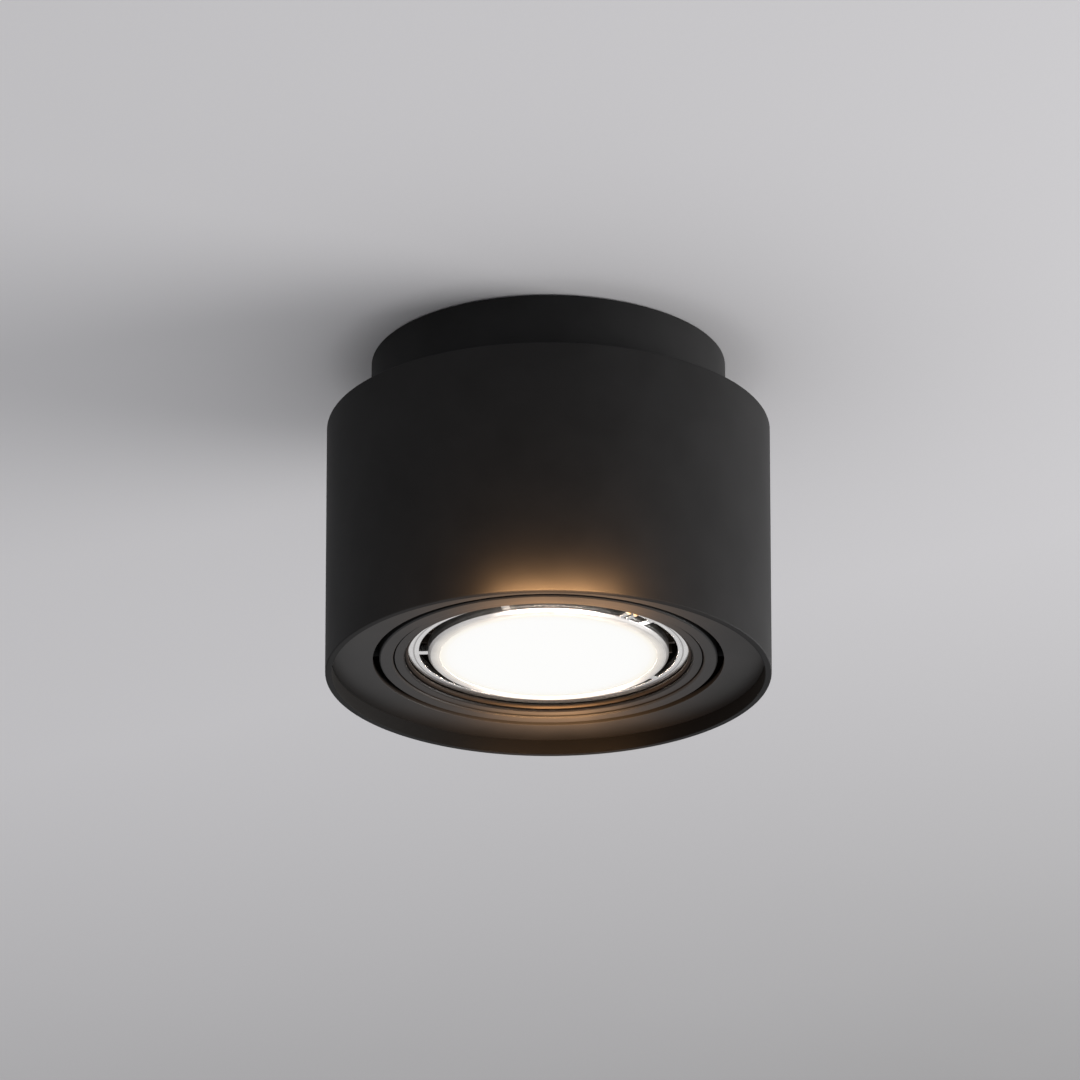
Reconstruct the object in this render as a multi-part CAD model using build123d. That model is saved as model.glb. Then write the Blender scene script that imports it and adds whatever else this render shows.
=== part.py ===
from build123d import *

import math
import os

# A surface mounted ceiling spotlight. A mounting plate is screwed to the ceiling, a round rose hangs on
# it by two side screws, and a wider round housing hangs under the rose on a hollow nipple. A lamp
# tilts in the housing's mouth in two rings, one inside the other.
# Millimetres, +Z up. The origin is the centre of the mounting plate's back face, on the ceiling.
# Radii are worked out from the lamp outwards, and levels from the ceiling down. They come to a lamp of
# 111 mm, a housing of 175 mm by 104 mm and a rose of 140 mm by 28 mm.

# ---- Rose and housing -------------------------------------------------------------------------------
rose_height = 28.0
rose_wall = 1.5
rose_floor = 2.0
rose_rim_gap = 0.5  # from the rose's rim up to the ceiling
ledge_width = 17.5  # the step from the housing's side in to the rose's
housing_wall = 2.5
housing_roof = 3.0
lead_room = 20.5  # from the lampholder up to the housing's roof, for the lead's loop
outer_edge_round = 0.5

# ---- Face plate in the housing's mouth --------------------------------------------------------------
face_plate_width = 16.0
face_recess = 6.0  # from the housing's lower edge up to the face plate
face_thickness = 2.0
ring_gap = 2.6  # the dark groove between the face plate and the outer ring
ear_thickness = 2.5
ear_width = 14.0
ear_above_pivot = 6.0

# ---- Gimbal -----------------------------------------------------------------------------------------
lamp_ring_gap = 1.0  # radial, between the lamp's rim and the bore of the inner ring
inner_ring_width = 3.8
inner_ring_drop = 5.2  # from the pivots down to the ring's lower face
inner_ring_rise = 3.0  # from the pivots up to the ring's top
ring_to_ring_gap = 0.6
outer_ring_width = 5.4
outer_ring_drop = 6.0
outer_ring_rise = 4.5
ring_bevel = 0.5
stop_lip_reach = 2.5  # how far the lip that stops the lamp's rim reaches in over it
rim_below_pivot = 2.1  # from the pivots down to the lower face of the lamp's rim

# ---- Pivots -----------------------------------------------------------------------------------------
outer_pivot_radius = 2.0
outer_pivot_tip_radius = 1.5
outer_pivot_tip_length = 4.0
outer_pivot_head_radius = 3.5
outer_pivot_head_height = 2.2
inner_pivot_radius = 1.5
inner_pivot_tip_radius = 1.2
inner_pivot_tip_length = 2.4
friction_washer_radius = 3.9
running_gap = 0.05  # radial, round a pivot's tip
thread_gap = 0.05  # radial, round a screw in its thread
fit_gap = 0.1  # between pieces of one body that drop into each other
tip_end_gap = 0.2
pivot_slot_width = 0.6
pivot_slot_depth = 1.0

# ---- Retaining spring -------------------------------------------------------------------------------
spring_wire_radius = 0.9
spring_over_rim = 0.5  # how far the wire reaches in under the lamp's rim
spring_end_angle = 308.0  # where the two bent ends lie side by side
spring_end_half_gap = 1.6
spring_corner_radius = 2.0
spring_to_bezel_gap = 1.0

# ---- Lamp -------------------------------------------------------------------------------------------
rim_thickness = 2.6
rim_band = 4.7
vent_width = 3.6  # from the bezel out to the rim's band
spoke_count = 5
spoke_width = 3.2
spoke_start_angle = 34.0
bezel_wall = 3.1
bezel_drop = 2.1  # how far the bezel stands down from the rim
bezel_lip = 1.0
diffuser_radius = 42.5
diffuser_flange = 1.5
diffuser_sink = 0.2  # from the bezel's lower face up to the diffuser
hub_lap = 1.0  # how far the rim's hub reaches in over the diffuser
chamber_height = 5.9
chamber_wall = 3.5
heatsink_floor = 3.6
heatsink_core_radius = 21.0
heatsink_height = 33.5
fin_count = 30
fin_thickness = 1.4
fin_rim_gap = 1.2  # from the fins out to the rim's band
fin_top_width = 3.0
fin_lift = 1.0
fin_shoulder = 5.5
fin_root = 1.0  # how far a fin runs into the body that it is cast with
fin_top_drop = 0.5
led_board_thickness = 1.6
led_board_gap = 3.0
led_chip_side = 3.5
led_chip_height = 0.7
led_chip_count = 8
led_circle_radius = 22.0
base_height = 19.5
base_wall = 1.5
base_foot_radius = 21.0
base_neck_radius = 12.8
base_neck_height = 7.0
driver_board_thickness = 1.6
driver_board_room = 5.0  # from the board up to the roof of the base
driver_part_radius = 4.0
driver_part_height = 9.0
driver_part_spread = 5.0  # from the middle of the board to the middle of each part

# ---- Lamp pins and lampholder -----------------------------------------------------------------------
pin_spacing = 10.0
pin_neck_radius = 2.0
pin_head_radius = 2.5
pin_head_height = 1.5
pin_length = 7.0
pin_root = 1.4
holder_length = 30.0
holder_width = 20.0
holder_height = 15.0
holder_corner_radius = 4.0
holder_edge_round = 1.0
holder_lead_depth = 4.0
holder_pin_gap = 0.2
holder_hole_radius = 1.6
holder_hole_spacing = 23.0
contact_thickness = 0.6
contact_spring_height = 1.4
contact_spring_radius = 0.9

# ---- Mounting plate ---------------------------------------------------------------------------------
plate_edge_gap = 6.5  # from the plate's edge out to the rose's wall
plate_thickness = 2.0
slot_spacing = 70.0
slot_width = 4.5
slot_length = 14.0
lug_width = 16.0
lug_drop = 16.0
lug_thickness = 2.0
lug_gap = 1.5  # from the lug's outer corners to the rose's wall
side_screw_radius = 2.0
side_screw_length = 8.0
side_screw_drop = 10.0  # below the ceiling
side_screw_socket = 2.0  # across its flats
side_screw_sink = 0.1
side_screw_hole_radius = 2.15
cable_hole_x = -28.0
cable_hole_y = -24.0
cable_hole_radius = 8.0
cable_bore_radius = 4.5
bush_flange_radius = 10.0
bush_flange_height = 2.0
bush_sink = 0.2

# ---- Terminal block and earth -----------------------------------------------------------------------
block_x = 5.0
block_y = -28.0
block_width = 30.0
block_depth = 16.0
block_height = 14.0
block_edge_round = 1.0
block_notch_width = 1.5
block_notch_depth = 4.0
block_screw_sink = 4.0
pole_pitch = 10.0
pole_count = 3
pole_drop = 5.0  # from the plate down to the axis of the inserts
insert_radius = 2.6
insert_bore_radius = 1.6
insert_inset = 0.6
clamp_screw_radius = 1.5
clamp_screw_well_radius = 2.3
clamp_screw_sink = 2.5
clamp_screw_spread = 8.0  # between the two screws of one pole
clamp_slot_width = 0.5
clamp_slot_depth = 0.6
small_screw_radius = 1.5
small_screw_head_radius = 2.8
small_screw_head_height = 1.8
earth_x = 18.0
earth_y = 24.0
earth_screw_radius = 2.0
earth_screw_head_radius = 3.8
earth_screw_head_height = 2.4
earth_screw_stub = 1.6
tag_thickness = 0.8
tag_radius = 4.4
tag_neck_width = 2.9
tag_neck_length = 4.5
tag_neck_lap = 1.5
tag_barrel_radius = 1.8
tag_barrel_near = 5.0
tag_barrel_far = 12.0
tag_barrel_end_wall = 1.5
tag_barrel_gap = 0.1

# ---- Hollow nipple that joins the rose and the housing ----------------------------------------------
nipple_radius = 5.0
nipple_bore_radius = 3.6
nipple_stub = 1.0
nut_across_flats = 14.0
nut_height = 3.0
nut_washer_radius = 8.5
nut_washer_thickness = 1.0
nipple_bush_flange = 1.0
nipple_bush_depth = 3.0

# ---- Pillars that carry the face plate --------------------------------------------------------------
pillar_count = 3
pillar_wall_gap = 4.0  # from a pillar out to the housing's wall
pillar_start_angle = 90.0
pillar_radius = 4.0
pillar_screw_radius = 2.0
pillar_screw_length = 12.0
pillar_screw_head_radius = 3.6
pillar_screw_head_height = 2.4
pillar_hole_depth = 12.0

# ---- Leads ------------------------------------------------------------------------------------------
sleeve_radius = 2.0  # the woven sleeve round the lamp's two cores
core_radius = 0.9
core_half_spread = 0.95
core_straight = 4.5
core_in_sleeve = 2.0
sleeve_from_block = 7.0
sleeve_drop = 0.5  # from the inserts' axis down to the sleeve's
lead_in_block = 2.5
loop_exit_drop = 8.5  # from the nipple's bush down to the loop's first turn
loop_near_drop = 9.5
loop_far_drop = 11.0
loop_middle_drop = 15.0
earth_lead_radius = 1.1
earth_lead_straight = 8.0
earth_lead_shift = 3.0

# ---- Proportions of a pan head screw, and how cuts are made -----------------------------------------
pan_round_share = 0.4
pan_cross_length_share = 1.2
pan_cross_width_share = 0.28
cut_past = 1.0  # how far a cut runs past the wall that it goes through

# ---- Radii that follow, from the lamp outwards ------------------------------------------------------
hub_bore_radius = diffuser_radius - hub_lap
flange_radius = diffuser_radius + diffuser_flange
bezel_radius = flange_radius + fit_gap + bezel_wall
band_bore_radius = bezel_radius + vent_width
lamp_radius = band_bore_radius + rim_band
chamber_radius = bezel_radius - fit_gap
led_board_radius = chamber_radius - chamber_wall - led_board_gap
fin_reach = band_bore_radius - fin_rim_gap
fin_top_radius = heatsink_core_radius + fin_top_width
spring_circle_radius = lamp_radius - spring_over_rim + spring_wire_radius
groove_radius = spring_circle_radius + spring_wire_radius + fit_gap

inner_bore_radius = lamp_radius + lamp_ring_gap
inner_ring_radius = inner_bore_radius + inner_ring_width
outer_bore_radius = inner_ring_radius + ring_to_ring_gap
outer_ring_radius = outer_bore_radius + outer_ring_width
face_hole_radius = outer_ring_radius + ring_gap
ear_outer_x = face_hole_radius + ear_thickness
face_plate_radius = face_hole_radius + face_plate_width

housing_inner_radius = face_plate_radius + fit_gap
housing_radius = housing_inner_radius + housing_wall
pillar_circle_radius = housing_inner_radius - pillar_wall_gap - pillar_radius
rose_radius = housing_radius - ledge_width
rose_inner_radius = rose_radius - rose_wall
plate_radius = rose_inner_radius - plate_edge_gap

# ---- Levels that follow, from the ceiling down ------------------------------------------------------
plate_low_z = -plate_thickness
pole_z = plate_low_z - pole_drop
block_low_z = plate_low_z - block_height
block_screw_seat_z = block_low_z + block_screw_sink
tag_barrel_z = plate_low_z - tag_barrel_radius - tag_barrel_gap
rose_floor_z = -rose_height + rose_floor
nipple_high_z = rose_floor_z + nut_washer_thickness + nut_height + nipple_stub

housing_top_z = -rose_height
housing_roof_z = housing_top_z - housing_roof
nipple_low_z = housing_roof_z - nut_washer_thickness - nut_height - nipple_stub
lead_exit_z = nipple_low_z - nipple_bush_flange

holder_high_z = housing_roof_z - lead_room
base_high_z = holder_high_z - holder_height
pin_tip_z = base_high_z + pin_length
holder_lead_z = pin_tip_z + contact_thickness + contact_spring_height
heatsink_high_z = base_high_z - base_height
heatsink_low_z = heatsink_high_z - heatsink_height
chamber_roof_z = heatsink_low_z + chamber_height
heatsink_floor_z = chamber_roof_z + heatsink_floor
rim_high_z = heatsink_low_z
rim_low_z = rim_high_z - rim_thickness
bezel_low_z = rim_low_z - bezel_drop
spring_z = rim_low_z - spring_wire_radius - fit_gap
groove_low_z = spring_z - spring_wire_radius - fit_gap

pivot_z = rim_low_z + rim_below_pivot
outer_ring_low_z = pivot_z - outer_ring_drop
outer_ring_high_z = pivot_z + outer_ring_rise
face_low_z = outer_ring_low_z
face_high_z = face_low_z + face_thickness
housing_bottom_z = face_low_z - face_recess

# ---- Places in the rose that follow -----------------------------------------------------------------
block_inner_y = block_y + block_depth / 2
block_screw_x = block_x + pole_pitch / 2
earth_pole_x = block_x + pole_pitch
lead_start_y = block_inner_y - lead_in_block
tag_bore_end_y = earth_y - tag_barrel_near - tag_barrel_end_wall

# ---- Routes of the leads: points chosen by hand -----------------------------------------------------
sleeve_start = (0, block_inner_y + sleeve_from_block, pole_z - sleeve_drop)
lamp_lead_route = [
    sleeve_start,
    (0, 0, pole_z - sleeve_drop),
    (0, 0, lead_exit_z),
]
loop_middle = (-39, 18, lead_exit_z - loop_middle_drop)
loop_slope = (-0.5, 10, -2.0)
upper_loop_route = [
    (0, 0, lead_exit_z),
    (0, 0, lead_exit_z - loop_exit_drop),
    (-14, -5, lead_exit_z - loop_near_drop),
    (-30, -4, lead_exit_z - loop_far_drop),
    tuple(Vector(*loop_middle) - Vector(*loop_slope)),
    loop_middle,
]
lower_loop_route = [
    loop_middle,
    tuple(Vector(*loop_middle) + Vector(*loop_slope)),
    (-28, 42, holder_lead_z + 0.5),
    (-10, 43, holder_lead_z - 0.5),
    (0, 30, holder_lead_z),
    (0, holder_width / 2 - holder_lead_depth, holder_lead_z),
]
earth_lead_route = [
    (earth_pole_x, lead_start_y, pole_z),
    (earth_pole_x, block_inner_y + earth_lead_straight, pole_z),
    (earth_x + earth_lead_shift, -5, pole_z - sleeve_drop),
    (earth_x, 6, tag_barrel_z),
    (earth_x, tag_bore_end_y, tag_barrel_z),
]

CENTRE = Align.CENTER
LOW = Align.MIN
HIGH = Align.MAX
TURN = 360.0


# ---- Shapes used more than once ---------------------------------------------------------------------
def turned(points):
    """A solid turned about Z from an outline of (radius, height) points."""
    outline = Polyline(*[(radius, 0, height) for radius, height in points], close=True)
    return revolve(make_face(outline), Axis.Z)


def disc(radius, low, high, x=0.0, y=0.0):
    """An upright cylinder between two heights."""
    return Pos(x, y, low) * Cylinder(radius, high - low, align=(CENTRE, CENTRE, LOW))


def hoop(outer, inner, low, high):
    """An upright tube about Z between two heights."""
    return disc(outer, low, high) - disc(inner, low, high)


def bar_along_x(radius, start, end, z):
    """A round bar along X."""
    middle = Pos((start + end) / 2, 0, z)
    return middle * Rot(0, 90, 0) * Cylinder(radius, abs(end - start))


def bar_along_y(radius, start, end, x, z):
    """A round bar along Y."""
    middle = Pos(x, (start + end) / 2, z)
    return middle * Rot(90, 0, 0) * Cylinder(radius, abs(end - start))


def hexagon(across_flats, low, high):
    """An upright hexagonal prism between two heights."""
    outline = Pos(0, 0, low) * RegularPolygon(across_flats / 2, 6, major_radius=False)
    return extrude(outline, high - low)


def pan_screw(radius, length, head_radius, head_height):
    """A pan head screw: the head's underside at the origin, the shank up along +Z."""
    shank = disc(radius, 0, length)
    head = disc(head_radius, -head_height, 0)
    head = fillet(head.edges().sort_by(Axis.Z)[0], head_height * pan_round_share)
    groove = Pos(0, 0, -head_height) * Box(
        head_radius * pan_cross_length_share, head_radius * pan_cross_width_share, head_height
    )
    return shank + head - groove - Rot(0, 0, 90) * groove


def around(piece, count, start_angle):
    """Copies of a piece, evenly spaced about Z."""
    return [Rot(0, 0, start_angle + TURN * step / count) * piece for step in range(count)]


def facing_pair(piece):
    """A piece and its copy half a turn away about Z."""
    return around(piece, 2, 0)


def bend_radii(route, share=0.45):
    """The arc at each inner point of a lead's route, from the shorter run beside it."""
    points = [Vector(*point) for point in route]
    radii = []
    for before, corner, after in zip(points, points[1:], points[2:]):
        run_in = corner - before
        run_out = after - corner
        half_turn = math.radians(run_in.get_angle(run_out)) / 2
        radii.append(share * min(run_in.length, run_out.length) / math.tan(half_turn))
    return radii


def lead(name, route, radius):
    """A lead's tube along its route: straight runs joined by tangent arcs."""
    radii = bend_radii(route)
    path = FilletPolyline(*route, radius=radii)
    section = Plane(origin=path @ 0, z_dir=path % 0) * Circle(radius)
    tube = sweep(section, path=path)
    expected = math.pi * radius**2 * path.length
    print(name, "radii", [round(r, 1) for r in radii], "length", round(path.length, 1))
    print(name, "volume over section times length", round(tube.volume / expected, 4))
    return tube


# ---- Mounting plate and what is fixed to it ---------------------------------------------------------
def mounting_plate():
    lug_outer_x = math.sqrt((rose_inner_radius - lug_gap) ** 2 - (lug_width / 2) ** 2)
    plate = disc(plate_radius, plate_low_z, 0)
    plate -= disc(cable_hole_radius, plate_low_z, 0, cable_hole_x, cable_hole_y)
    plate -= disc(small_screw_radius + thread_gap, plate_low_z, 0, block_screw_x, block_y)
    plate -= disc(earth_screw_radius + thread_gap, plate_low_z, 0, earth_x, earth_y)
    for side in (-1, 1):
        slot = Pos(side * slot_spacing / 2, 0, plate_low_z) * SlotOverall(slot_length, slot_width)
        plate -= extrude(slot, plate_thickness)
    tongue = Box(lug_outer_x / 2, lug_width, plate_thickness, align=(HIGH, CENTRE, HIGH))
    lug = Box(lug_thickness, lug_width, lug_drop, align=(HIGH, CENTRE, HIGH))
    lug = fillet(lug.edges().filter_by(Axis.X).group_by(Axis.Z)[0], lug_width / 4)
    arm = Pos(lug_outer_x, 0, 0) * (tongue + lug)
    arm -= bar_along_x(side_screw_radius + thread_gap, plate_radius / 2, rose_radius, z=-side_screw_drop)
    slot_clear = disc(slot_spacing / 2 + slot_length, plate_low_z, 0)
    for copy in facing_pair(arm - slot_clear):
        plate += copy
    return plate


def cable_bush():
    flange_low_z = plate_low_z - bush_flange_height
    flange = disc(bush_flange_radius, flange_low_z, plate_low_z)
    flange = fillet(flange.edges().group_by(Axis.Z)[0], bush_flange_height / 2)
    body = disc(cable_hole_radius - fit_gap / 2, plate_low_z, -bush_sink)
    bore = disc(cable_bore_radius, flange_low_z, 0)
    return Pos(cable_hole_x, cable_hole_y, 0) * (body + flange - bore)


def pole_positions():
    first = block_x - pole_pitch * (pole_count - 1) / 2
    return [first + pole_pitch * pole for pole in range(pole_count)]


def clamp_screw_positions():
    return [(x, block_y + side * clamp_screw_spread / 2) for x in pole_positions() for side in (-1, 1)]


def terminal_block():
    block = Pos(block_x, block_y, plate_low_z) * Box(
        block_width, block_depth, block_height, align=(CENTRE, CENTRE, HIGH)
    )
    block = fillet(block.edges().group_by(Axis.Z)[0], block_edge_round)
    for x in pole_positions():
        block -= bar_along_y(
            insert_radius + fit_gap, block_y - block_depth, block_y + block_depth, x=x, z=pole_z
        )
    for x, y in clamp_screw_positions():
        block -= disc(clamp_screw_well_radius, block_low_z, pole_z, x, y)
    for x in pole_positions()[:-1]:
        notch = Box(block_notch_width, block_depth, block_notch_depth, align=(CENTRE, CENTRE, LOW))
        block -= Pos(x + pole_pitch / 2, block_y, block_low_z) * notch
    screw_hole = disc(small_screw_radius + fit_gap, block_low_z, plate_low_z)
    head_well = disc(small_screw_head_radius + 2 * fit_gap, block_low_z, block_screw_seat_z)
    return block - Pos(block_screw_x, block_y, 0) * (screw_hole + head_well)


def terminal_inserts():
    half = block_depth / 2 - insert_inset
    inserts = []
    for x in pole_positions():
        insert = bar_along_y(insert_radius, block_y - half, block_y + half, x=x, z=pole_z)
        insert -= bar_along_y(insert_bore_radius, block_y - half, block_y + half, x=x, z=pole_z)
        for side in (-1, 1):
            y = block_y + side * clamp_screw_spread / 2
            insert -= disc(clamp_screw_radius + thread_gap, block_low_z, pole_z, x, y)
        inserts.append(insert)
    return inserts


def terminal_screws():
    low = block_low_z + clamp_screw_sink
    high = pole_z - core_radius - fit_gap
    screw = disc(clamp_screw_radius, low, high)
    slot = Box(2 * clamp_screw_radius, clamp_slot_width, clamp_slot_depth, align=(CENTRE, CENTRE, LOW))
    screw -= Pos(0, 0, low) * slot
    return [Pos(x, y, 0) * screw for x, y in clamp_screw_positions()]


def terminal_block_screw():
    length = -block_screw_seat_z
    screw = pan_screw(small_screw_radius, length, small_screw_head_radius, small_screw_head_height)
    return Pos(block_screw_x, block_y, block_screw_seat_z) * screw


def earth_tag():
    eye_low_z = plate_low_z - tag_thickness
    neck = Box(tag_neck_width, tag_neck_length, tag_thickness, align=(CENTRE, HIGH, HIGH))
    eye = disc(tag_radius, eye_low_z, plate_low_z) + Pos(0, tag_neck_lap - tag_radius, plate_low_z) * neck
    eye -= disc(earth_screw_radius + fit_gap, eye_low_z, plate_low_z)
    barrel = bar_along_y(tag_barrel_radius, -tag_barrel_far, -tag_barrel_near, x=0, z=tag_barrel_z)
    bore = bar_along_y(
        earth_lead_radius + fit_gap, -tag_barrel_far, tag_bore_end_y - earth_y, x=0, z=tag_barrel_z
    )
    return Pos(earth_x, earth_y, 0) * (eye + barrel - bore)


def earth_screw():
    seat_z = plate_low_z - tag_thickness
    shank = tag_thickness + earth_screw_stub
    screw = pan_screw(earth_screw_radius, shank, earth_screw_head_radius, earth_screw_head_height)
    return Pos(earth_x, earth_y, seat_z) * screw


# ---- Rose, nipple and housing -----------------------------------------------------------------------
def ceiling_rose():
    floor_z = rose_floor_z - rose_floor
    cup = turned(
        [
            (nipple_radius + fit_gap, floor_z),
            (rose_radius, floor_z),
            (rose_radius, -rose_rim_gap),
            (rose_inner_radius, -rose_rim_gap),
            (rose_inner_radius, rose_floor_z),
            (nipple_radius + fit_gap, rose_floor_z),
        ]
    )
    low_rims = cup.edges().filter_by(GeomType.CIRCLE).group_by(Axis.Z)[0]
    cup = fillet(low_rims.sort_by(SortBy.RADIUS)[-1], outer_edge_round)
    reach = rose_radius + cut_past
    hole = bar_along_x(side_screw_hole_radius, -reach, reach, z=-side_screw_drop)
    return cup - hole


def rose_side_screws():
    outer_end = rose_radius - side_screw_sink
    screw = bar_along_x(side_screw_radius, outer_end - side_screw_length, outer_end, z=-side_screw_drop)
    socket = Rot(0, 90, 0) * hexagon(side_screw_socket, -side_screw_radius, 0)
    socket = Pos(outer_end - side_screw_radius, 0, -side_screw_drop) * Rot(0, 180, 0) * socket
    return facing_pair(screw - socket)


def hollow_nipple():
    return hoop(nipple_radius, nipple_bore_radius, nipple_low_z, nipple_high_z)


def nipple_nuts():
    hole = disc(nipple_radius + thread_gap, nipple_low_z, nipple_high_z)
    upper_seat_z = rose_floor_z + nut_washer_thickness
    lower_seat_z = housing_roof_z - nut_washer_thickness
    upper = hexagon(nut_across_flats, upper_seat_z, upper_seat_z + nut_height)
    lower = hexagon(nut_across_flats, lower_seat_z - nut_height, lower_seat_z)
    return [upper - hole, lower - hole]


def nipple_washers():
    bore = nipple_radius + fit_gap
    upper = hoop(nut_washer_radius, bore, rose_floor_z, rose_floor_z + nut_washer_thickness)
    lower = hoop(nut_washer_radius, bore, housing_roof_z - nut_washer_thickness, housing_roof_z)
    return [upper, lower]


def nipple_bushes():
    bore = sleeve_radius + fit_gap
    barrel = nipple_bore_radius - fit_gap / 2
    upper = hoop(nipple_radius, bore, nipple_high_z, nipple_high_z + nipple_bush_flange)
    upper += hoop(barrel, bore, nipple_high_z - nipple_bush_depth, nipple_high_z)
    lower = hoop(nipple_radius, bore, lead_exit_z, nipple_low_z)
    lower += hoop(barrel, bore, nipple_low_z, nipple_low_z + nipple_bush_depth)
    return [upper, lower]


def housing():
    can = turned(
        [
            (nipple_radius + fit_gap, housing_roof_z),
            (housing_inner_radius, housing_roof_z),
            (housing_inner_radius, housing_bottom_z),
            (housing_radius, housing_bottom_z),
            (housing_radius, housing_top_z),
            (nipple_radius + fit_gap, housing_top_z),
        ]
    )
    rims = can.edges().filter_by(GeomType.CIRCLE).group_by(SortBy.RADIUS)[-1]
    can = fillet(rims, outer_edge_round)
    hole = disc(pillar_screw_radius + fit_gap, housing_roof_z, housing_top_z, x=pillar_circle_radius)
    for copy in around(hole, pillar_count, pillar_start_angle):
        can -= copy
    return can


# ---- Face plate, pillars and pivots -----------------------------------------------------------------
def face_plate():
    plate = hoop(face_plate_radius, face_hole_radius, face_low_z, face_high_z)
    ear_high_z = pivot_z + ear_above_pivot
    ear = Pos(face_hole_radius, 0, face_low_z + face_thickness / 2) * Box(
        ear_thickness,
        ear_width,
        ear_high_z - face_low_z - face_thickness / 2,
        align=(LOW, CENTRE, LOW),
    )
    ear = fillet(ear.edges().filter_by(Axis.X).group_by(Axis.Z)[-1], ear_width / 4)
    ear -= bar_along_x(outer_pivot_radius + thread_gap, outer_ring_radius, ear_outer_x, z=pivot_z)
    for copy in facing_pair(ear):
        plate += copy
    return plate


def support_pillars():
    pillar = disc(pillar_radius, face_high_z, housing_roof_z, x=pillar_circle_radius)
    pillar -= disc(
        pillar_screw_radius + thread_gap,
        housing_roof_z - pillar_hole_depth,
        housing_roof_z,
        x=pillar_circle_radius,
    )
    return around(pillar, pillar_count, pillar_start_angle)


def pillar_screws():
    screw = pan_screw(
        pillar_screw_radius, pillar_screw_length, pillar_screw_head_radius, pillar_screw_head_height
    )
    screw = Pos(pillar_circle_radius, 0, housing_top_z) * Rot(180, 0, 0) * screw
    return around(screw, pillar_count, pillar_start_angle)


def outer_pivot_screws():
    shank_end = outer_ring_radius + tip_end_gap
    length = ear_outer_x - shank_end
    screw = pan_screw(outer_pivot_radius, length, outer_pivot_head_radius, outer_pivot_head_height)
    screw += disc(outer_pivot_tip_radius, length, length + tip_end_gap + outer_pivot_tip_length)
    return facing_pair(Pos(ear_outer_x, 0, pivot_z) * Rot(0, -90, 0) * screw)


def friction_washers():
    inner_x = outer_ring_radius + fit_gap
    outer_x = face_hole_radius - fit_gap
    washer = bar_along_x(friction_washer_radius, inner_x, outer_x, z=pivot_z)
    washer -= bar_along_x(outer_pivot_radius + fit_gap, inner_x, outer_x, z=pivot_z)
    return facing_pair(washer)


def outer_gimbal_ring():
    low = outer_ring_low_z
    ring = turned(
        [
            (outer_bore_radius + ring_bevel, low),
            (outer_ring_radius - ring_bevel, low),
            (outer_ring_radius, low + ring_bevel),
            (outer_ring_radius, outer_ring_high_z),
            (outer_bore_radius, outer_ring_high_z),
            (outer_bore_radius, low + ring_bevel),
        ]
    )
    hole_depth = outer_pivot_tip_length + tip_end_gap
    blind = bar_along_x(
        outer_pivot_tip_radius + running_gap,
        outer_ring_radius - hole_depth,
        outer_ring_radius + cut_past,
        z=pivot_z,
    )
    through = bar_along_y(
        inner_pivot_radius + thread_gap,
        outer_bore_radius - cut_past,
        outer_ring_radius + cut_past,
        x=0,
        z=pivot_z,
    )
    for hole in facing_pair(blind) + facing_pair(through):
        ring -= hole
    return ring


def inner_pivot_screws():
    shank_start = outer_bore_radius + fit_gap
    shank_end = outer_ring_radius - fit_gap
    tip_end = inner_ring_radius - inner_pivot_tip_length
    shank = bar_along_y(inner_pivot_radius, shank_start, shank_end, x=0, z=pivot_z)
    tip = bar_along_y(inner_pivot_tip_radius, tip_end, shank_start, x=0, z=pivot_z)
    slot = Pos(0, shank_end, pivot_z) * Box(
        2 * inner_pivot_radius, pivot_slot_depth, pivot_slot_width, align=(CENTRE, HIGH, CENTRE)
    )
    return facing_pair(shank + tip - slot)


def inner_gimbal_ring():
    low = pivot_z - inner_ring_drop
    high = pivot_z + inner_ring_rise
    lip_low_z = rim_high_z + fit_gap
    lip_radius = lamp_radius - stop_lip_reach
    ring = turned(
        [
            (inner_bore_radius + ring_bevel, low),
            (inner_ring_radius, low),
            (inner_ring_radius, high),
            (lip_radius, high),
            (lip_radius, lip_low_z),
            (inner_bore_radius, lip_low_z),
            (inner_bore_radius, rim_low_z),
            (groove_radius, rim_low_z),
            (groove_radius, groove_low_z),
            (inner_bore_radius, groove_low_z),
            (inner_bore_radius, low + ring_bevel),
        ]
    )
    hole = bar_along_y(
        inner_pivot_tip_radius + running_gap,
        inner_ring_radius - inner_pivot_tip_length - tip_end_gap,
        inner_ring_radius + cut_past,
        x=0,
        z=pivot_z,
    )
    for copy in facing_pair(hole):
        ring -= copy
    return ring


def retaining_spring():
    """An open hoop of wire. Its two ends turn inwards side by side, as grips."""
    ring = spring_circle_radius
    bend = spring_corner_radius
    bar_y = spring_end_half_gap
    bar_inner_x = bezel_radius + spring_to_bezel_gap
    bend_x = math.sqrt((ring - bend) ** 2 - (bar_y + bend) ** 2)
    hoop_angle = math.degrees(math.atan2(bar_y + bend, bend_x))
    half_hoop = 180.0 - hoop_angle
    path = Wire(
        [
            Edge.make_line((bar_inner_x, bar_y), (bend_x, bar_y)),
            CenterArc((bend_x, bar_y + bend), bend, -90, 90 + hoop_angle).edge(),
            CenterArc((0, 0), ring, hoop_angle, half_hoop).edge(),
            CenterArc((0, 0), ring, 180, half_hoop).edge(),
            CenterArc((bend_x, -bar_y - bend), bend, -hoop_angle, 90 + hoop_angle).edge(),
            Edge.make_line((bend_x, -bar_y), (bar_inner_x, -bar_y)),
        ]
    )
    section = Plane(origin=path @ 0, z_dir=path % 0) * Circle(spring_wire_radius)
    print("retaining_spring gap between its ends", 2 * bar_y - 2 * spring_wire_radius)
    return Pos(0, 0, spring_z) * Rot(0, 0, spring_end_angle) * sweep(section, path=path)


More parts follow.
